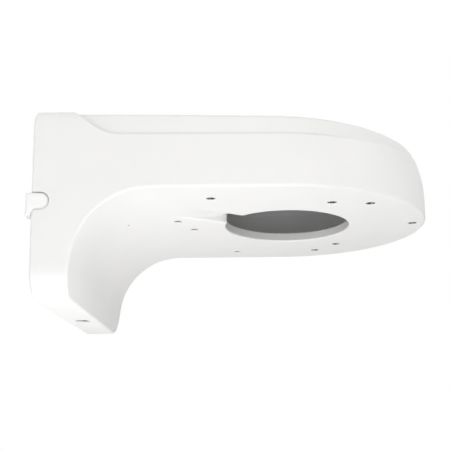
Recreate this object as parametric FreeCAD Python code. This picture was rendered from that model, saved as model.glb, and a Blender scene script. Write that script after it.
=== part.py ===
"""Wall bracket for a dome camera: a hollow cast arm that stands out from a wall.

Frame, in millimetres: x = 0 is the wall, +X runs out along the arm, +Z is up and z = 0 is the
flat underside that the camera bolts to. The origin is the middle of the wall plate's four screws.

Pieces: the cast body, the steel plate that is screwed to the wall first and that the body hangs
on, the screw that locks the body to the plate from below, and the soft plug of the side cable way.
"""
import FreeCAD, Part
import math
import os

# Body, outside
arm_reach = 157.2            # wall to the tip of the nose
wall_half_width = 62.2       # half the width at the wall, at the underside
side_taper = 0.9             # how much less the plan radius of the nose is
nose_radius = wall_half_width - side_taper
side_slope = 0.09            # how far each side leans out for every millimetre of height
nose_lean = 1.9              # how far the nose has drawn back at the height of the ledge
nose_slope = 0.28            # and how far it does so above that for every millimetre of height
leg_drop = 40.6              # underside of the arm down to the end of the leg
leg_depth = 13.7             # leg, wall to front, at its lower end
leg_slope = 0.092            # how far the leg's front leans out for every millimetre of height
leg_blend = 30.0             # hollow curve between leg and underside
flange_top = 32.0            # top of the thick section at the wall
flange_depth = 13.0          # how far that top runs out from the wall
flange_run = 14.0            # length of the slope beyond it, seen from above
flange_round = 6.0           # round from that top into the slope
flange_blend = 17.0          # hollow curve from the slope into the ledge
ledge_height = 21.0          # at the wall, where the upper part of the arm steps in
ledge_fall = 1.1             # how far the straight ledge falls on the length of the arm
ledge_rise_run = 46.0        # before the nose it curves up, over this length
ledge_rise = 3.6             # and by this much
ledge_inset = 1.0            # width of that step at the sides
ledge_tip = 0.2              # and what is left of it at the tip of the nose
cap_slope = 0.27             # how far the upper part leans in for every millimetre of height
cap_nose_slope = 0.13        # and how much more at the nose
cap_top = 30.4               # top of the arm at the wall
cap_fall = 4.2               # how far the top falls from the wall to the nose
top_corner = 8.0             # upper corners of the flange, seen from the front
foot_corner = 12.0           # lower corners of the leg, seen from the front
cap_edge = 0.9               # bevel round the top of the arm
under_edge = 0.7             # bevel round the underside and down the leg
rim_edge = 0.6               # bevel of the back rim

nose_hold = 0.4              # share of the ledge's height over which the nose stands upright
nose_turn = 0.7              # share at which it has drawn back by a quarter
crown_straight = 0.35        # share of the top's fall that is even; the rest grows towards the nose

# Body, inside
side_wall = 3.6              # sides and nose
roof_wall = 3.2              # roof
floor_wall = 4.0             # underside, and front of the leg
foot_wall = 5.0              # end of the leg, which takes the locking screw's head

foot_seat = foot_wall - leg_drop    # level on which the plate's foot stands

# Opening, cable channel and tapped holes in the underside
opening_ahead = 1.6          # middle of the opening, beyond the middle of the round nose
opening_x = arm_reach - nose_radius + opening_ahead
opening_radius = 27.1
opening_edge = 0.4
channel_angle = -150.0       # from +X, seen from above
channel_width = 14.0
channel_edge = 0.7           # bevel along both its sides
channel_run = 54.0           # from the middle of the opening to where the channel starts
channel_roof = 2.5           # metal left over the channel
channel_cap_run = 42.0       # that metal starts this far from the middle of the opening
channel_overlap = 2.0        # and runs this far into the opening, to be cut with it
circle_insets = (6.9, 19.9, 12.9)    # of the three hole circles from the nose's plan radius
circle_angles = (-4.7, 54.2, 72.0)
tap_radius = 1.7             # M4 thread, drilled
tap_depth = 7.0
tap_mouth = 0.35
boss_radius = 4.5
boss_top = 8.6

# Ribs over the bend inside
rib_y = 22.0
rib_width = 2.5
rib_height = 5.0
rib_foot_z = -34.0

# Side cable way and its plug
notch_depth = 6.7
notch_radius = 3.35
notch_z = -4.9
notch_lip = 2.2              # rounding of its lower corner at the back
plug_gap = 0.25              # round the plug
plug_behind = 2.3            # how far the soft plug stands out behind, for the wall to press
plug_proud = 0.2
plug_edge = 0.7
plug_flange = 1.8            # how far its inner flange reaches past the way
plug_flange_thick = 1.6
plug_back = 0.3              # its inner flange starts this far from the wall

# Wall plate
plate_thick = 2.0
plate_inset = 10.2           # plate's sides from the body's
plate_half_width = wall_half_width - plate_inset
plate_top = 22.0
plate_above_corner = 0.6     # plate's lower edge, above where the leg's lower corners end
plate_low = plate_above_corner + foot_corner - leg_drop
plate_corner = 6.0
bend_radius = 1.0            # inside of every fold
hook_relief = 0.6            # slit beside each hook
window_half_width = 22.0
window_half_height = 12.0
window_corner = 5.0
wall_hole_side = 8.0         # from the plate's side
wall_hole_y = plate_half_width - wall_hole_side
wall_hole_z = 16.0
wall_hole_radius = 2.75

# Hooks of the plate and the lugs that hang in them
hook_aside = 14.0            # from the screws, towards the middle
hook_y = wall_hole_y - hook_aside
hook_width = 12.0
hook_slot = 5.0              # between plate and lip
hook_lip = 5.0               # lip, above the tab
lug_width = 9.0
lug_gap = 0.3                # lug to plate and lip, each side
hook_z = 15.0                # where the lugs rest

# Locking screw, M3
lock_behind = 6.6            # from the leg's front
lock_x = leg_depth - lock_behind
lock_y = 5.7
lock_radius = 1.5
lock_hole_radius = 1.7
lock_head_radius = 3.0
lock_head_height = 1.8
lock_head_edge = 0.35
lock_head_gap = 0.25
lock_recess = 3.2
lock_length = 7.0
lock_key = 1.0               # half the width across the hexagon of its socket
lock_key_depth = 1.1
foot_width = 14.0
collar_radius = 2.6
foot_margin = 0.1            # sheet left in front of the collar
foot_reach = lock_x + collar_radius + foot_margin
collar_height = 1.5

# Tools that cut or trim run past what they cut
OVER = 1.0
PAST = 10.0
FAR = 400.0                  # longer than anything here
TINY = 0.01                  # to tell where an edge or face lies
NEAR_SIDE_Y = -wall_half_width - 2 * PAST      # outside the near side
NEAR_INSIDE_Y = -wall_half_width + PAST        # inboard of the near side wall


def vec(x, y, z):
    return FreeCAD.Vector(x, y, z)


def line(a, b):
    return Part.makeLine(a, b)


def arc(a, b, c):
    return Part.Arc(a, b, c).toShape()


def slab(points, direction):
    """A closed outline of straight runs, drawn out along a direction."""
    return Part.Face(Part.makePolygon(points + points[:1])).extrude(direction)


def plan_outline(z, inset, lean, back):
    """Outline seen from above at height z: straight sides that run tangent into a round nose."""
    radius = nose_radius + side_slope * z - inset
    half = wall_half_width + side_slope * z - inset
    centre = arm_reach - lean - inset - radius
    turn = math.acos(radius / math.hypot(half, centre)) - math.atan2(centre, half)
    joint_x = centre + radius * math.sin(turn)
    joint_y = radius * math.cos(turn)
    back_y = half - back * math.tan(turn)
    near_back = vec(back, -back_y, z)
    near_joint = vec(joint_x, -joint_y, z)
    far_joint = vec(joint_x, joint_y, z)
    far_back = vec(back, back_y, z)
    tip = vec(centre + radius, 0, z)
    return Part.Wire([line(near_back, near_joint), arc(near_joint, tip, far_joint),
                      line(far_joint, far_back), line(far_back, near_back)])


def plan_solid(levels, back, straight=False):
    """Solid through plan outlines, each given as its height, inset and nose lean.

    It runs smoothly through them, or straight from each to the next.
    """
    wires = [plan_outline(z, inset, lean, back) for z, inset, lean in levels]
    return Part.makeLoft(wires, True, straight)


def under_arc(offset):
    """Hollow curve from the leg's front into the underside, moved into the metal by offset."""
    radius = leg_blend + offset
    lean = math.atan(leg_slope)
    front_x = leg_depth + leg_slope * (leg_drop - leg_blend)
    centre_x = front_x + leg_blend / math.cos(lean)
    low = vec(centre_x - radius * math.cos(lean), 0, -leg_blend + radius * math.sin(lean))
    half_turn = (math.pi / 2 + lean) / 2
    middle = vec(centre_x - radius * math.sin(half_turn), 0, -leg_blend + radius * math.cos(half_turn))
    high = vec(centre_x, 0, -leg_blend + radius)
    return low, middle, high


def leg_front(z, offset):
    """x of the leg's front at height z, moved back into the leg by offset."""
    lean = math.atan(leg_slope)
    return leg_depth + leg_slope * (z + leg_drop) - offset / math.cos(lean)


def cap_arc(start_x, offset):
    """Gently crowned top of the arm, lowered by offset, from start_x to past the nose."""
    def height(x):
        share = x / arm_reach
        fall = crown_straight * share + (1 - crown_straight) * share * share
        return cap_top - offset - cap_fall * fall
    end_x = arm_reach + PAST
    middle_x = (start_x + end_x) / 2
    return vec(start_x, 0, height(start_x)), vec(middle_x, 0, height(middle_x)), vec(end_x, 0, height(end_x))


def across(wire):
    """Side-view outline drawn out across the whole width."""
    face = Part.Face(wire)
    face.translate(vec(0, -FAR / 2, 0))
    return face.extrude(vec(0, FAR, 0))


def ledge_at(x):
    """Height of the ledge, as a parabola where it curves up."""
    rise = max(x - arm_reach + ledge_rise_run, 0) / ledge_rise_run
    return ledge_height - ledge_fall * x / arm_reach + ledge_rise * rise ** 2


def ledge_rise_ends():
    """Start, middle and end of the ledge's rise, run on past the nose."""
    start_x = arm_reach - ledge_rise_run
    end_x = arm_reach + PAST
    return [vec(x, 0, ledge_at(x)) for x in (start_x, (start_x + end_x) / 2, end_x)]


def corner_arc(before, corner, after, radius):
    """Start, middle and end of the arc of a radius that rounds a corner of a side view."""
    to_before = (before - corner).normalize()
    to_after = (after - corner).normalize()
    half = to_before.getAngle(to_after) / 2
    reach = radius / math.tan(half)
    inward = (to_before + to_after).normalize()
    middle = corner + inward * (radius / math.sin(half) - radius)
    return corner + to_before * reach, middle, corner + to_after * reach


def block_side_view():
    """Leg and arm, as high as the flange all along."""
    low, middle, high = under_arc(0)
    end_x = arm_reach + PAST
    foot_back = vec(0, 0, -leg_drop)
    foot_front = vec(leg_depth, 0, -leg_drop)
    arm_end = vec(end_x, 0, 0)
    top_end = vec(end_x, 0, flange_top)
    wall_top = vec(0, 0, flange_top)
    return Part.Wire([
        line(foot_back, foot_front), line(foot_front, low), arc(low, middle, high),
        line(high, arm_end), line(arm_end, top_end), line(top_end, wall_top),
        line(wall_top, foot_back)])


def above_ledge_side_view():
    """What is taken off above the ledge, round the slope at the end of the flange."""
    over_z = flange_top + PAST
    slope_end_x = flange_depth + flange_run
    wall_top = vec(0, 0, flange_top)
    shoulder = vec(flange_depth, 0, flange_top)
    valley = vec(slope_end_x, 0, ledge_at(slope_end_x))
    rise_start, rise_middle, rise_end = ledge_rise_ends()
    round_start, round_middle, round_end = corner_arc(wall_top, shoulder, valley, flange_round)
    blend_start, blend_middle, blend_end = corner_arc(shoulder, valley, rise_start, flange_blend)
    over_start = vec(round_start.x, 0, over_z)
    over_end = vec(rise_end.x, 0, over_z)
    return Part.Wire([
        arc(round_start, round_middle, round_end), line(round_end, blend_start),
        arc(blend_start, blend_middle, blend_end), line(blend_end, rise_start),
        arc(rise_start, rise_middle, rise_end), line(rise_end, over_end),
        line(over_end, over_start), line(over_start, round_start)])


def cap_side_view():
    start, middle, end = cap_arc(flange_depth / 2, 0)
    ledge_start = vec(start.x, 0, ledge_at(start.x))
    rise_start, rise_middle, rise_end = ledge_rise_ends()
    return Part.Wire([
        line(ledge_start, rise_start), arc(rise_start, rise_middle, rise_end),
        line(rise_end, end), arc(end, middle, start), line(start, ledge_start)])


def hollow_side_view():
    """The same outline inside the metal, open at the wall."""
    low, middle, high = under_arc(floor_wall)
    start, crown, end = cap_arc(-PAST, roof_wall)
    foot_back = vec(-PAST, 0, foot_seat)
    foot_front = vec(leg_front(foot_seat, floor_wall), 0, foot_seat)
    arm_end = vec(end.x, 0, floor_wall)
    return Part.Wire([
        line(foot_back, foot_front), line(foot_front, low), arc(low, middle, high),
        line(high, arm_end), line(arm_end, end), arc(end, crown, start), line(start, foot_back)])


def outer_plan():
    """The whole plan of the body with its drafted sides, from below the leg to above the flange."""
    head_z = flange_top + OVER
    levels = [(-leg_drop - OVER, 0, 0), (0, 0, 0), (nose_hold * ledge_height, 0, 0),
              (nose_turn * ledge_height, 0, nose_lean / 4), (ledge_height, 0, nose_lean),
              (head_z, 0, nose_lean + nose_slope * (head_z - ledge_height))]
    return plan_solid(levels, 0)


def edges_along_x(shape, z):
    """Edges on the level z that run along the arm, out to both sides."""
    level = [edge for edge in shape.Edges
             if abs(edge.BoundBox.ZMin - z) < TINY and abs(edge.BoundBox.ZMax - z) < TINY]
    return [edge for edge in level if edge.BoundBox.YLength < edge.BoundBox.XLength]


def face_on_level(shape, z):
    """The widest flat face on the level z."""
    flat = [face for face in shape.Faces
            if abs(face.BoundBox.ZMin - z) < TINY and abs(face.BoundBox.ZMax - z) < TINY]
    return max(flat, key=lambda face: face.Area)


def lower_body():
    body = outer_plan().common(across(block_side_view()))
    body = body.makeFillet(foot_corner, edges_along_x(body, -leg_drop))
    body = body.makeFillet(top_corner, edges_along_x(body, flange_top))
    underside = face_on_level(body, 0)
    body = body.makeChamfer(under_edge, edges_along_x(underside, 0))
    rim = [edge for edge in body.Edges if edge.BoundBox.XMax < TINY]
    body = body.makeChamfer(rim_edge, rim)
    return body.cut(across(above_ledge_side_view()))


def cap():
    """Upper part of the arm, stepped in from the sides, leaning in and crowned.

    The step narrows round the nose, because there the ledge has risen to where both lean in.
    """
    tip_z = ledge_at(arm_reach)
    tip_lean = nose_lean + nose_slope * (tip_z - ledge_height) + ledge_tip
    levels = []
    for z in (ledge_height - ledge_fall - OVER, cap_top + OVER):
        inset = ledge_inset + (cap_slope + side_slope) * (z - ledge_height)
        tip_inset = ledge_inset + (cap_slope + side_slope) * (tip_z - ledge_height)
        levels.append((z, inset, tip_lean - tip_inset + cap_nose_slope * (z - tip_z)))
    block = plan_solid(levels, 0).common(across(cap_side_view()))
    top = max(block.Faces, key=lambda face: face.CenterOfMass.z)
    edges = [edge for edge in top.Edges if edge.BoundBox.XLength > PAST / 2]
    return block.makeChamfer(cap_edge, edges)


def hollow():
    """Space inside the body, open at the wall."""
    head_z = flange_top + OVER
    head_inset = side_wall + cap_slope * (head_z - ledge_height)
    head_lean = nose_lean + cap_nose_slope * (head_z - ledge_height)
    levels = [(-leg_drop - OVER, side_wall, 0), (nose_hold * ledge_height, side_wall, 0),
              (ledge_height, side_wall, nose_lean), (head_z, head_inset, head_lean)]
    space = plan_solid(levels, -PAST, straight=True).common(across(hollow_side_view()))
    return space.makeFillet(foot_corner - foot_wall, edges_along_x(space, foot_seat))


def post(radius, low, high, x, y):
    return Part.makeCylinder(radius, high - low, vec(x, y, low))


def tapped_places():
    """Three circles of three holes about the opening, a third of a turn apart on each circle."""
    places = []
    for inset, start in zip(circle_insets, circle_angles):
        radius = nose_radius - inset
        for turn in (0, 120, 240):
            angle = math.radians(start + turn)
            places.append((opening_x + radius * math.cos(angle), radius * math.sin(angle)))
    return places


def tapped_hole(x, y):
    hole = post(tap_radius, -OVER, tap_depth, x, y)
    mouth = Part.makeCone(tap_radius + tap_mouth + OVER, tap_radius, tap_mouth + OVER, vec(x, y, -OVER))
    return hole.fuse(mouth)


def channel_depth(run):
    """Depth of the cable channel at a distance from the middle of the opening."""
    radius = ((channel_run - opening_radius) ** 2 + floor_wall ** 2) / (2 * floor_wall)
    return radius - math.sqrt(max(radius ** 2 - (channel_run - run) ** 2, 0))


def channel_block(outline, width):
    """Outline in the channel's own upright plane, given its width and turned to its direction."""
    face = Part.Face(Part.Wire(outline))
    face.translate(vec(0, -width / 2, 0))
    block = face.extrude(vec(0, width, 0))
    block.rotate(vec(0, 0, 0), vec(0, 0, 1), channel_angle)
    block.translate(vec(opening_x, 0, 0))
    return block


def channel_outline(low, lift, near, far):
    """Closed outline under the scooped floor of the channel, raised by lift."""
    ends = [vec(run, 0, channel_depth(run) + lift) for run in (near, (near + far) / 2, far)]
    near_low = vec(near, 0, low)
    far_low = vec(far, 0, low)
    return [arc(*ends), line(ends[2], far_low), line(far_low, near_low), line(near_low, ends[0])]


def opening_cut():
    return post(opening_radius, -OVER, cap_top - cap_fall - 2 * roof_wall, opening_x, 0)


def channel_cut():
    """Scoop with upright sides, and a bevel along them no deeper than the scoop."""
    outline = channel_outline(-OVER, 0, opening_radius / 2, channel_run)
    scoop = channel_block(outline, channel_width)
    wide_scoop = channel_block(outline, channel_width + 2 * (channel_edge + OVER))
    half = channel_width / 2
    mouth_half = half + channel_edge + OVER
    near_x = opening_x - channel_run
    section = [vec(near_x, -mouth_half, -OVER), vec(near_x, mouth_half, -OVER),
               vec(near_x, half, channel_edge), vec(near_x, -half, channel_edge)]
    bevel = slab(section, vec(channel_run, 0, 0))
    bevel.rotate(vec(opening_x, 0, 0), vec(0, 0, 1), channel_angle - 180)
    return scoop.fuse(bevel.common(wide_scoop))


def channel_hump():
    """Metal over the channel, inside the arm."""
    near = opening_radius - channel_overlap
    outline = channel_outline(floor_wall / 2, channel_roof, near, channel_cap_run)
    return channel_block(outline, channel_width + 2 * channel_roof)


def notch_block(grow, back_x):
    """U-shaped block across the near side, open to the wall, grown by a margin all round.

    At the wall it widens below, round the rounded lower corner of the way.
    """
    radius = notch_radius + grow
    lip_radius = notch_lip - grow
    nose_x = notch_depth - notch_radius
    top_z = notch_z + radius
    low_z = notch_z - radius
    lip_z = low_z - lip_radius
    side_y = NEAR_SIDE_Y
    lip_turn = lip_radius * math.sqrt(0.5)
    nose_top = vec(nose_x, side_y, top_z)
    nose_tip = vec(nose_x + radius, side_y, notch_z)
    nose_low = vec(nose_x, side_y, low_z)
    lip_top = vec(notch_lip, side_y, low_z)
    lip_middle = vec(notch_lip - lip_turn, side_y, lip_z + lip_turn)
    lip_low = vec(grow, side_y, lip_z)
    back_top = vec(back_x, side_y, top_z)
    back_low = vec(back_x, side_y, lip_z)
    outline = Part.Wire([
        line(back_top, nose_top), arc(nose_top, nose_tip, nose_low), line(nose_low, lip_top),
        arc(lip_top, lip_middle, lip_low), line(lip_low, back_low), line(back_low, back_top)])
    return Part.Face(outline).extrude(vec(0, NEAR_INSIDE_Y - side_y, 0))


def plug_flange_block():
    """The plug's inner flange, larger than the way all round."""
    reach = notch_radius + plug_flange
    nose_x = notch_depth - notch_radius
    depth = NEAR_INSIDE_Y - NEAR_SIDE_Y
    block = Part.makeBox(nose_x - plug_back, depth, 2 * reach, vec(plug_back, NEAR_SIDE_Y, notch_z - reach))
    nose = Part.makeCylinder(reach, depth, vec(nose_x, NEAR_SIDE_Y, notch_z), vec(0, 1, 0))
    ahead = Part.makeBox(reach, depth, 2 * reach, vec(nose_x, NEAR_SIDE_Y, notch_z - reach))
    return block.fuse(nose.common(ahead)).removeSplitter()


def lock_hole():
    """Counterbore from below and clearance hole through the end of the leg."""
    seat_z = -leg_drop + lock_recess
    head = post(lock_head_radius + lock_head_gap, -leg_drop - OVER, seat_z, lock_x, lock_y)
    shank = post(lock_hole_radius, seat_z - OVER, foot_seat + OVER, lock_x, lock_y)
    return head.fuse(shank)


def lug(side):
    """Lug under the roof that hangs in one of the plate's hooks."""
    x = plate_thick + lug_gap
    depth = hook_slot - 2 * lug_gap
    high = cap_top - roof_wall / 2 - hook_z
    block = Part.makeBox(depth, lug_width, high, vec(x, side * hook_y - lug_width / 2, hook_z))
    low_edges = [edge for edge in block.Edges
                 if edge.BoundBox.ZMax < hook_z + TINY and edge.BoundBox.XLength < TINY]
    return block.makeFillet(bend_radius, low_edges)


def rib(side):
    """Rib over the bend inside, from the leg to short of the opening, tapered off at both ends."""
    low, middle, high = under_arc(floor_wall / 2)
    top_low, top_middle, top_high = under_arc(floor_wall + rib_height)
    far_x = opening_x - opening_radius - boss_radius
    outline = Part.Wire([
        line(low, vec(leg_front(rib_foot_z, floor_wall / 2), 0, rib_foot_z)),
        line(vec(leg_front(rib_foot_z, floor_wall / 2), 0, rib_foot_z), top_low),
        arc(top_low, top_middle, top_high), line(top_high, vec(far_x, 0, high.z)),
        line(vec(far_x, 0, high.z), high), arc(high, middle, low)])
    face = Part.Face(outline)
    face.translate(vec(0, side * rib_y - rib_width / 2, 0))
    return face.extrude(vec(0, rib_width, 0))


def bracket_body():
    shell = lower_body().fuse(cap()).cut(hollow())
    bosses = [post(boss_radius, floor_wall / 2, boss_top, x, y) for x, y in tapped_places()]
    inner_pieces = bosses + [channel_hump(), rib(-1), rib(1), lug(-1), lug(1)]
    solid = shell.fuse(inner_pieces).cut(opening_cut())
    mouth = [edge for edge in solid.Edges if edge.BoundBox.ZMax < TINY
             and abs(edge.BoundBox.YLength - 2 * opening_radius) < TINY]
    solid = solid.makeChamfer(opening_edge, mouth)
    cuts = [channel_cut(), notch_block(0, -PAST), lock_hole()]
    cuts += [tapped_hole(x, y) for x, y in tapped_places()]
    return solid.cut(cuts)


def plate_sheet():
    """Flat sheet of the wall plate, with rounded corners."""
    sheet = Part.makeBox(plate_thick, 2 * plate_half_width, plate_top - plate_low,
                         vec(0, -plate_half_width, plate_low))
    corners = [edge for edge in sheet.Edges if abs(edge.BoundBox.XLength - plate_thick) < TINY]
    return sheet.makeFillet(plate_corner, corners)


def folded_strip(points, width, middle_y):
    """Side view of a folded strip of sheet, drawn out to its width."""
    wire = Part.Wire(points)
    face = Part.Face(wire)
    face.translate(vec(0, middle_y - width / 2, 0))
    return face.extrude(vec(0, width, 0))


def quarter(centre_x, centre_z, radius, start_deg, end_deg):
    """Arc of a fold, by its centre, from one direction to another, in degrees from +X to +Z."""
    points = []
    for angle in (start_deg, (start_deg + end_deg) / 2, end_deg):
        turn = math.radians(angle)
        points.append(vec(centre_x + radius * math.cos(turn), 0, centre_z + radius * math.sin(turn)))
    return arc(*points)


def hook(side):
    """Strip folded forward from the plate and up again into a lip."""
    inner = bend_radius
    outer = bend_radius + plate_thick
    root_z = hook_z - outer
    first_x = plate_thick + inner
    last_x = plate_thick + hook_slot - inner
    lip_x = plate_thick + hook_slot
    lip_top = hook_z + hook_lip
    start_z = root_z - plate_thick
    outline = [
        line(vec(0, 0, start_z), vec(0, 0, root_z)),
        quarter(first_x, root_z, outer, 180, 90),
        line(vec(first_x, 0, hook_z), vec(last_x, 0, hook_z)),
        quarter(last_x, hook_z + inner, inner, 270, 360),
        line(vec(lip_x, 0, hook_z + inner), vec(lip_x, 0, lip_top)),
        line(vec(lip_x, 0, lip_top), vec(lip_x + plate_thick, 0, lip_top)),
        line(vec(lip_x + plate_thick, 0, lip_top), vec(lip_x + plate_thick, 0, hook_z + inner)),
        quarter(last_x, hook_z + inner, outer, 360, 270),
        line(vec(last_x, 0, hook_z - plate_thick), vec(first_x, 0, hook_z - plate_thick)),
        quarter(first_x, root_z, inner, 90, 180),
        line(vec(plate_thick, 0, root_z), vec(plate_thick, 0, start_z)),
        line(vec(plate_thick, 0, start_z), vec(0, 0, start_z))]
    return folded_strip(outline, hook_width, side * hook_y)


def hook_gap(side):
    """Where the sheet of the hook came out of the plate, open at its top edge."""
    root_z = hook_z - bend_radius - plate_thick
    width = hook_width + 2 * hook_relief
    return Part.makeBox(plate_thick + 2 * OVER, width, plate_top + OVER - root_z,
                        vec(-OVER, side * hook_y - width / 2, root_z))


def collar_top():
    return foot_seat + plate_thick + collar_height


def foot():
    """Strip folded forward from the plate's lower edge, with the plunged collar for the screw."""
    inner = bend_radius
    outer = bend_radius + plate_thick
    fold_z = foot_seat + outer
    sheet_top = foot_seat + plate_thick
    first_x = plate_thick + inner
    start_z = plate_low + plate_thick
    outline = [
        line(vec(0, 0, start_z), vec(0, 0, fold_z)),
        quarter(first_x, fold_z, outer, 180, 270),
        line(vec(first_x, 0, foot_seat), vec(foot_reach, 0, foot_seat)),
        line(vec(foot_reach, 0, foot_seat), vec(foot_reach, 0, sheet_top)),
        line(vec(foot_reach, 0, sheet_top), vec(first_x, 0, sheet_top)),
        quarter(first_x, fold_z, inner, 270, 180),
        line(vec(plate_thick, 0, fold_z), vec(plate_thick, 0, start_z)),
        line(vec(plate_thick, 0, start_z), vec(0, 0, start_z))]
    strip = folded_strip(outline, foot_width, lock_y)
    collar = post(collar_radius, foot_seat + plate_thick / 2, collar_top(), lock_x, lock_y)
    return strip.fuse(collar)


def window():
    """Round-cornered way for the cables out of the wall."""
    depth = plate_thick + 2 * OVER
    block = Part.makeBox(depth, 2 * window_half_width, 2 * window_half_height,
                         vec(-OVER, -window_half_width, -window_half_height))
    corners = [edge for edge in block.Edges if abs(edge.BoundBox.XLength - depth) < TINY]
    return block.makeFillet(window_corner, corners)


def wall_hole(y, z):
    return Part.makeCylinder(wall_hole_radius, plate_thick + 2 * OVER, vec(-OVER, y, z), vec(1, 0, 0))


def wall_plate():
    sheet = plate_sheet().cut([hook_gap(-1), hook_gap(1)])
    solid = sheet.fuse([hook(-1), hook(1), foot()])
    thread = post(lock_radius, -leg_drop, collar_top() + OVER, lock_x, lock_y)
    holes = [wall_hole(y, z) for y in (-wall_hole_y, wall_hole_y) for z in (-wall_hole_z, wall_hole_z)]
    return solid.cut([window(), thread] + holes).removeSplitter()


def locking_screw():
    """Socket-head machine screw, head down in the leg's counterbore."""
    seat_z = -leg_drop + lock_recess
    low_z = seat_z - lock_head_height
    head = post(lock_head_radius, low_z, seat_z, lock_x, lock_y)
    rim = [edge for edge in head.Edges if edge.BoundBox.ZMax < low_z + TINY]
    head = head.makeChamfer(lock_head_edge, rim)
    shank = post(lock_radius, seat_z - lock_head_height / 2, seat_z + lock_length, lock_x, lock_y)
    across_corners = lock_key / math.cos(math.radians(30))
    corners = []
    for step in range(6):
        turn = math.radians(60 * step)
        corners.append(vec(lock_x + across_corners * math.cos(turn),
                           lock_y + across_corners * math.sin(turn), low_z - OVER))
    socket = slab(corners, vec(0, 0, lock_key_depth + OVER))
    return head.fuse(shank).cut(socket).removeSplitter()


def grown_plan(grow):
    """Block with the body's drafted sides, moved out by grow, or in where grow is below 0."""
    return plan_solid([(-leg_drop, -grow, 0), (flange_top, -grow, 0)], -PAST)


def cable_plug():
    """Soft plug of the side cable way: a face that fills the notch and a flange behind the wall."""
    face = notch_block(-plug_gap, -plug_behind).common(grown_plan(plug_proud))
    outer_y = -wall_half_width + side_wall / 2
    outer_edges = [edge for edge in face.Edges if edge.BoundBox.YMax < outer_y]
    face = face.makeChamfer(plug_edge, outer_edges)
    flange = plug_flange_block().common(hollow())
    inside = grown_plan(-side_wall - plug_flange_thick)
    return face.fuse(flange).cut(inside)


NODES = {
    "bracket_body": bracket_body,
    "wall_plate": wall_plate,
    "locking_screw": locking_screw,
    "cable_plug": cable_plug,
}


def main():
    os.makedirs("parts", exist_ok=True)
    for name, make in NODES.items():
        shape = make()
        print(name, "solids", len(shape.Solids), "valid", shape.isValid(), "volume", round(shape.Volume, 1))
        shape.exportStep("parts/" + name + ".step")


main()
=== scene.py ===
import math
import bpy
from mathutils import Matrix, Vector

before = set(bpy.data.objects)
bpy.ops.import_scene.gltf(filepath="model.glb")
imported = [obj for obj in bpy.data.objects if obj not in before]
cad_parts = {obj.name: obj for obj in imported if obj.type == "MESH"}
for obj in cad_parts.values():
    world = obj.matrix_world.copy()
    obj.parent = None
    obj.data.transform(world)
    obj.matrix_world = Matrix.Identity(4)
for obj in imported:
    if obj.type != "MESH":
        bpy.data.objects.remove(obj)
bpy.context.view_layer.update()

# The body's own measures, in metres, for the finishes that follow its walls
ARM_REACH = 0.1572
NOSE_RADIUS = 0.0613
NOSE_LEAN = 0.0019
SIDE_SLOPE = 0.09
SIDE_WALL = 0.0036
INTO_SIDE = 0.4              # share of its thickness at which outside turns to inside
FLOOR_WALL = 0.004
INTO_FLOOR = 0.93            # the same for the floor
LEDGE_HEIGHT = 0.0205
LEDGE_INSET = 0.001
CAP_SLOPE = 0.36
ROOF_MIDDLE = 0.0282         # between the roof's two faces, at the wall
ROOF_FALL = 0.017
OPENING_X = 0.0975
TAP_CIRCLES = ((0.0544, -4.7), (0.0414, 54.2), (0.0484, 72.0))     # radius, angle of the first hole
TAPS_PER_CIRCLE = 3
THREAD_PITCH = 0.0007
LEG_END = -0.0406
LOCK_X = 0.0071
LOCK_Y = 0.0057

# How far each finish reaches, in metres, which is just past the wall that it lies on
OPENING_REACH = 0.0275
OPENING_START = 0.0006
OPENING_END = 0.0096
THREAD_REACH = 0.00195
THREAD_START = 0.0002
THREAD_START_BY_LEG = 0.00035    # deeper by this much in the holes near the leg
THREAD_END = 0.0076
BY_LEG_X = 0.085                 # these holes lie nearer the wall than this
BY_LEG_Y = -0.02                 # and on this side of the arm
BOSS_REACH = 0.0049
BOSS_END = 0.0090
LOCK_REACH = 0.00335
LOCK_START = 0.0005              # above the leg's end
LOCK_END = 0.006
COUNTERBORE_DARKEST_FROM_X = 0.0066              # painted shade in the counterbore is darkest beyond this

# Where the painted highlight on edges lies, and the coat's one fault, under the bend
EDGES_UNDER = 0.017              # the painted highlight lies on edges below this height
EDGES_FROM_X = 0.012             # and further from the wall than this
EDGE_TURN = 0.05                 # 1 less the cosine by which the rounding turns the surface there
EDGE_TURN_SOFT = 0.04
SPECK = (0.0303, -0.0193)
SPECK_RADIUS = 0.0005
SPECK_UNDER = -0.0015

# Widths over which one finish gives way to the next, in metres
TIGHT = 0.0001
CRISP = 0.0002
EASY = 0.0003
SOFT = 0.0005
BROAD = 0.001

# The photograph's viewpoint: below the arm, looking slightly up
PICTURE_WIDTH = 450
FOCAL_PIXELS = 851.2
SENSOR = 36.0
PITCH, YAW, ROLL = 0.257, -0.044, 0.002
VIEWPOINT = (0.08619, -0.36473, -0.09477)

# Soft lamps before, below and above the arm: name, place, what it faces, width, watts
MIDDLE = (0.08, 0, 0)
LAMPS = (
    ("front_soft", (0.08, -0.8, 0.6), MIDDLE, 0.6, 2.03),
    ("right_soft", (0.8, -0.5, 0.5), MIDDLE, 0.6, 2.65),
    ("left_soft", (-0.7, -0.4, 0.08), MIDDLE, 0.5, 2.2),
    ("end_soft", (0.9, 0.0, 0.0), MIDDLE, 0.6, 0.45),
    ("front_low_soft", (0.15, -0.32, -0.22), (0.08, -0.02, 0), 0.25, 0.435),
    ("low_soft", (0.03, -0.05, -0.25), (0.03, -0.05, 0), 0.15, 0.295),
    ("top_soft", (-0.05, -0.15, 0.9), MIDDLE, 0.9, 1.5),
)
FLOOR_HALF = 3.0
FLOOR_HEIGHT = -0.26
WHITE = (1.0, 1.0, 1.0)
BLACK = (0.0, 0.0, 0.0)


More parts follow.
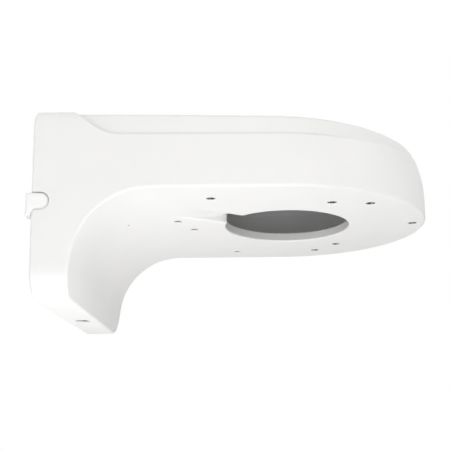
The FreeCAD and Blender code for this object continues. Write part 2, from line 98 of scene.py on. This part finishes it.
class Value:
    """An output of a node, so that shader maths reads as plain sums."""

    def __init__(self, shader, node, output):
        self.shader = shader
        self.node = node
        self.output = output

    def other(self, output):
        """Another output of the same node."""
        return Value(self.shader, self.node, output)

    def maths(self, operation, *others):
        return self.shader.maths(operation, self, *others)

    def __add__(self, other):
        return self.maths("ADD", other)

    def __radd__(self, other):
        return self.shader.maths("ADD", other, self)

    def __sub__(self, other):
        return self.maths("SUBTRACT", other)

    def __rsub__(self, other):
        return self.shader.maths("SUBTRACT", other, self)

    def __mul__(self, other):
        return self.maths("MULTIPLY", other)

    def __rmul__(self, other):
        return self.shader.maths("MULTIPLY", other, self)

    def above(self, edge, soft):
        """0 below the edge and 1 above it, over a soft step."""
        return self.shader.make("ShaderNodeMapRange", {"interpolation_type": "SMOOTHSTEP"},
                                (self, edge - soft, edge + soft, 0.0, 1.0))

    def below(self, edge, soft):
        return 1.0 - self.above(edge, soft)


class Shader:
    """A tree of nodes under construction."""

    def __init__(self, tree):
        self.tree = tree
        tree.nodes.clear()

    def feed(self, socket, value):
        if isinstance(value, Value):
            self.tree.links.new(value.node.outputs[value.output], socket)
        else:
            socket.default_value = value

    def make(self, kind, settings=None, sockets=(), output=0):
        """Adds one node: its settings first, then its sockets by place or by name."""
        node = self.tree.nodes.new(kind)
        for name, value in (settings or {}).items():
            setattr(node, name, value)
        pairs = sockets.items() if isinstance(sockets, dict) else enumerate(sockets)
        for key, value in pairs:
            self.feed(node.inputs[key], value)
        return Value(self, node, output)

    def maths(self, operation, *values):
        return self.make("ShaderNodeMath", {"operation": operation}, values)

    def reach(self, first, second):
        """Length of the slanting side over two sides at right angles."""
        return self.maths("SQRT", first * first + second * second)

    def blend(self, share, first, second):
        """One colour into another."""
        first, second = (colour if isinstance(colour, Value) else (*colour, 1.0)
                         for colour in (first, second))
        return self.make("ShaderNodeMix", {"data_type": "RGBA"}, {0: share, 6: first, 7: second}, output=2)


class Finish(Shader):
    """A material under construction."""

    def __init__(self, name):
        self.material = bpy.data.materials.new(name)
        self.material.use_nodes = True
        super().__init__(self.material.node_tree)
        self.surface = self.make("ShaderNodeBsdfPrincipled")
        self.make("ShaderNodeOutputMaterial", sockets={"Surface": self.surface})

    def set(self, **sockets):
        for name, value in sockets.items():
            self.feed(self.surface.node.inputs[name.replace("_", " ")], value)

    def position(self):
        """Position in the part's own frame."""
        return self.make("ShaderNodeNewGeometry", output="Position")

    def noise(self, position, size, detail=2.0, roughness=0.5):
        """Smooth noise from 0 to 1 with lumps of a size in metres."""
        sockets = {"Vector": position, "Scale": 1 / size, "Detail": detail, "Roughness": roughness}
        return self.make("ShaderNodeTexNoise", sockets=sockets, output="Fac")

    def bump(self, height, distance, strength, under):
        """Surface normal with fine relief on it, over rounded edges."""
        sockets = {"Strength": strength, "Distance": distance, "Height": height, "Normal": under}
        return self.make("ShaderNodeBump", sockets=sockets)

    def round_edges(self, radius):
        return self.make("ShaderNodeBevel", {"samples": 6}, {"Radius": radius})


def dress(node, finish):
    """Gives a solid its finish."""
    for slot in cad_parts[node].material_slots:
        slot.material = finish.material


def inside_walls(finish, x, y, z):
    """1 on the inner faces of the body, which are painted a darker grey as the hollow's shade."""
    draft = z * SIDE_SLOPE
    step = z.above(LEDGE_HEIGHT, CRISP) * LEDGE_INSET
    radius = draft + NOSE_RADIUS - step - (z - LEDGE_HEIGHT).maths("MAXIMUM", 0.0) * CAP_SLOPE
    beyond = (x + draft - (ARM_REACH - NOSE_RADIUS - NOSE_LEAN)).maths("MAXIMUM", 0.0)
    inboard = (radius - finish.reach(beyond, y)).above(SIDE_WALL * INTO_SIDE, CRISP)
    below_roof = (z + x * ROOF_FALL).below(ROOF_MIDDLE, EASY)
    over_floor = z.above(FLOOR_WALL * INTO_FLOOR, EASY)
    return inboard * below_roof * over_floor


def distance_to_taps(finish, x, y):
    """Distance from the axis of the nearest of the tapped holes."""
    distances = []
    for circle, start in TAP_CIRCLES:
        for hole in range(TAPS_PER_CIRCLE):
            angle = math.radians(start + hole * 360 / TAPS_PER_CIRCLE)
            hole_x = OPENING_X + circle * math.cos(angle)
            hole_y = circle * math.sin(angle)
            distances.append(finish.reach(x - hole_x, y - hole_y))
    nearest = distances[0]
    for distance in distances[1:]:
        nearest = nearest.maths("MINIMUM", distance)
    return nearest


def threads_and_hole_shade(to_tap, x, y, z):
    """1 in the tapped holes, where the threaded metal is darkened with painted shade of the holes; the
    painted dark starts deeper in the holes near the leg.
    """
    by_leg = x.below(BY_LEG_X, BROAD) * y.above(BY_LEG_Y, BROAD)
    start = by_leg * THREAD_START_BY_LEG + THREAD_START
    return to_tap.below(THREAD_REACH, TIGHT) * z.above(start, TIGHT) * z.below(THREAD_END, EASY)


def painted_edge_highlight(finish, rounded, x, z):
    """1 along the edges below the ledge, where a painted highlight makes the coat whitest."""
    flat = finish.make("ShaderNodeNewGeometry", output="True Normal")
    likeness = finish.make("ShaderNodeVectorMath", {"operation": "DOT_PRODUCT"}, (rounded, flat), "Value")
    turned = (1.0 - likeness).above(EDGE_TURN, EDGE_TURN_SOFT)
    return turned * z.below(EDGES_UNDER, BROAD) * x.above(EDGES_FROM_X, BROAD)


def powder_coat():
    finish = Finish("off_white_powder_coat")
    position = finish.position()
    split = finish.make("ShaderNodeSeparateXYZ", sockets=(position,))
    x, y, z = (split.other(axis) for axis in "XYZ")
    grain = finish.noise(position, size=0.0011, detail=3.0, roughness=0.55)
    mottle = finish.noise(position, size=0.018)
    chips = finish.noise(position, size=0.0009, detail=1.0).above(edge=0.52, soft=0.05)
    rounded = finish.round_edges(0.0009)

    # Where each finish lies
    inside = inside_walls(finish, x, y, z)
    # painted highlight along the rounded edges, kept off the inner faces
    edge = painted_edge_highlight(finish, rounded, x, z) * (1.0 - inside)
    to_tap = distance_to_taps(finish, x, y)
    thread_and_shade = threads_and_hole_shade(to_tap, x, y, z)
    boss = to_tap.below(BOSS_REACH, EASY) * z.below(BOSS_END, EASY)
    to_opening = finish.reach(x - OPENING_X, y)
    opening = (to_opening.below(OPENING_REACH, CRISP)
               * z.above(OPENING_START, CRISP) * z.below(OPENING_END, SOFT))
    to_lock = finish.reach(x - LOCK_X, y - LOCK_Y)
    into_leg = z - LEG_END
    counterbore = (to_lock.below(LOCK_REACH, TIGHT / 2)
                   * into_leg.above(LOCK_START, CRISP) * into_leg.below(LOCK_END, CRISP))
    to_speck = finish.reach(x - SPECK[0], y - SPECK[1])
    speck = to_speck.below(SPECK_RADIUS, TIGHT) * z.below(SPECK_UNDER, SOFT)

    # Their colours
    coat = finish.blend(mottle, (0.840, 0.837, 0.828), (0.880, 0.877, 0.868))
    # painted highlight on the rounded edges
    edge_highlight_white = (0.95, 0.95, 0.94)
    # painted shade of the hollow on the inner faces
    hollow_shade = finish.blend(mottle, (0.65, 0.65, 0.65), (0.70, 0.70, 0.70))
    # darker painted shade on the bosses near the floor inside
    boss_shade = (0.46, 0.46, 0.455)
    # greyer on the wall of the round opening
    opening_wall_grey = finish.blend(grain, (0.56, 0.555, 0.54), (0.64, 0.635, 0.62))
    # painted shade of the holes over the dark threaded metal
    tapped = finish.blend(chips, (0.05, 0.05, 0.05), (0.42, 0.42, 0.41))
    # painted shade in the counterbore, darkest on one half
    counterbore_shade = finish.blend(x.above(COUNTERBORE_DARKEST_FROM_X, SOFT), (0.38, 0.38, 0.375), (0.07, 0.07, 0.068))
    fault = (0.25, 0.25, 0.24)

    # Laid over one another
    # painted highlight laid on the edges
    colour = finish.blend(edge, coat, edge_highlight_white)
    colour = finish.blend(opening * 0.8, colour, opening_wall_grey)
    # painted shade laid on the inner faces, darker still on the bosses
    colour = finish.blend(inside, colour, finish.blend(boss, hollow_shade, boss_shade))
    # painted shade in the tapped holes, with the threaded metal
    colour = finish.blend(thread_and_shade, colour, tapped)
    # painted shade laid in the counterbore
    colour = finish.blend(counterbore, colour, counterbore_shade)
    colour = finish.blend(speck * 0.8, colour, fault)
    ridge = (z * (2 * math.pi / THREAD_PITCH)).maths("SINE")
    relief = grain + thread_and_shade * ridge * 2.0
    finish.set(Base_Color=colour,
               Roughness=0.42 + grain * 0.10 + inside * 0.15,
               Metallic=thread_and_shade * 0.5,
               Normal=finish.bump(relief, distance=0.00006, strength=0.35, under=rounded),
               IOR=1.5)
    return finish


def zinc_plate():
    finish = Finish("zinc_plated_sheet")
    position = finish.position()
    rounded = finish.round_edges(0.0003)
    cloud = finish.noise(position, size=0.006, detail=3.0)
    grain = finish.noise(position, size=0.0006)
    finish.set(Base_Color=finish.blend(cloud, (0.50, 0.51, 0.52), (0.64, 0.645, 0.65)),
               Metallic=1.0,
               Roughness=0.32 + cloud * 0.16,
               Normal=finish.bump(grain, distance=0.00002, strength=0.3, under=rounded))
    return finish


def screw_steel():
    finish = Finish("stainless_screw")
    cloud = finish.noise(finish.position(), size=0.0015)
    rounded = finish.round_edges(0.0002)
    finish.set(Base_Color=finish.blend(cloud, (0.47, 0.47, 0.47), (0.58, 0.58, 0.58)),
               Metallic=1.0,
               Roughness=0.28 + cloud * 0.15,
               Normal=finish.bump(cloud, distance=0.00001, strength=0.2, under=rounded))
    return finish


def soft_plug():
    finish = Finish("off_white_rubber")
    position = finish.position()
    mottle = finish.noise(position, size=0.004)
    grain = finish.noise(position, size=0.0005)
    rounded = finish.round_edges(0.0003)
    finish.set(Base_Color=finish.blend(mottle, (0.90, 0.90, 0.895), (0.93, 0.93, 0.925)),
               Roughness=0.6 + mottle * 0.1,
               Normal=finish.bump(grain, distance=0.00003, strength=0.3, under=rounded))
    return finish


def camera():
    data = bpy.data.cameras.new("viewpoint")
    data.sensor_fit = "HORIZONTAL"
    data.sensor_width = SENSOR
    data.lens = FOCAL_PIXELS / PICTURE_WIDTH * SENSOR
    data.clip_start = 0.01
    data.clip_end = 20
    level = math.cos(PITCH)
    forward = Vector((math.sin(YAW) * level, math.cos(YAW) * level, math.sin(PITCH)))
    right = forward.cross(Vector((0, 0, 1))).normalized()
    up = right.cross(forward)
    turned_right = right * math.cos(ROLL) + up * math.sin(ROLL)
    turned_up = up * math.cos(ROLL) - right * math.sin(ROLL)
    turn = Matrix((turned_right, turned_up, -forward)).transposed().to_4x4()
    viewpoint = bpy.data.objects.new("viewpoint", data)
    viewpoint.matrix_world = Matrix.Translation(VIEWPOINT) @ turn
    bpy.context.scene.collection.objects.link(viewpoint)
    bpy.context.scene.camera = viewpoint


def lamp(name, place, aim, size, power):
    data = bpy.data.lights.new(name, "AREA")
    data.shape = "DISK"
    data.size = size
    data.energy = power
    light = bpy.data.objects.new(name, data)
    light.location = place
    light.rotation_euler = (Vector(aim) - Vector(place)).to_track_quat("-Z", "Y").to_euler()
    light.visible_camera = False
    bpy.context.scene.collection.objects.link(light)


def surroundings():
    """Even pale light from all round, seen and reflected as white."""
    world = bpy.data.worlds.new("studio")
    bpy.context.scene.world = world
    world.use_nodes = True
    shader = Shader(world.node_tree)
    around = shader.make("ShaderNodeBackground", sockets={"Color": (1.0, 0.995, 0.985, 1), "Strength": 0.243})
    white = shader.make("ShaderNodeBackground", sockets={"Color": (*WHITE, 1), "Strength": 1.0})
    seen = shader.make("ShaderNodeLightPath", output="Is Camera Ray")
    share = seen
    for kind in ("Is Glossy Ray", "Is Transmission Ray"):
        share = share.maths("MAXIMUM", seen.other(kind))
    mixed = shader.make("ShaderNodeMixShader", sockets=(share, around, white))
    shader.make("ShaderNodeOutputWorld", sockets={"Surface": mixed})


def floor():
    """A pale floor that the camera sees as white."""
    mesh = bpy.data.meshes.new("studio_floor")
    corners = [(x * FLOOR_HALF, y * FLOOR_HALF, FLOOR_HEIGHT)
               for x, y in ((-1, -1), (1, -1), (1, 1), (-1, 1))]
    mesh.from_pydata(corners, [], [(0, 1, 2, 3)])
    plane = bpy.data.objects.new("studio_floor", mesh)
    bpy.context.scene.collection.objects.link(plane)
    finish = Finish("pale_floor")
    seen = finish.make("ShaderNodeLightPath", output="Is Camera Ray")
    finish.set(Base_Color=finish.blend(seen, (0.86, 0.86, 0.86), BLACK),
               Emission_Color=finish.blend(seen, BLACK, WHITE),
               Emission_Strength=1.0,
               Roughness=0.8)
    mesh.materials.append(finish.material)


camera()
dress("bracket_body", powder_coat())
dress("wall_plate", zinc_plate())
dress("locking_screw", screw_steel())
dress("cable_plug", soft_plug())
surroundings()
for row in LAMPS:
    lamp(*row)
floor()
bpy.context.scene.view_settings.view_transform = "Standard"
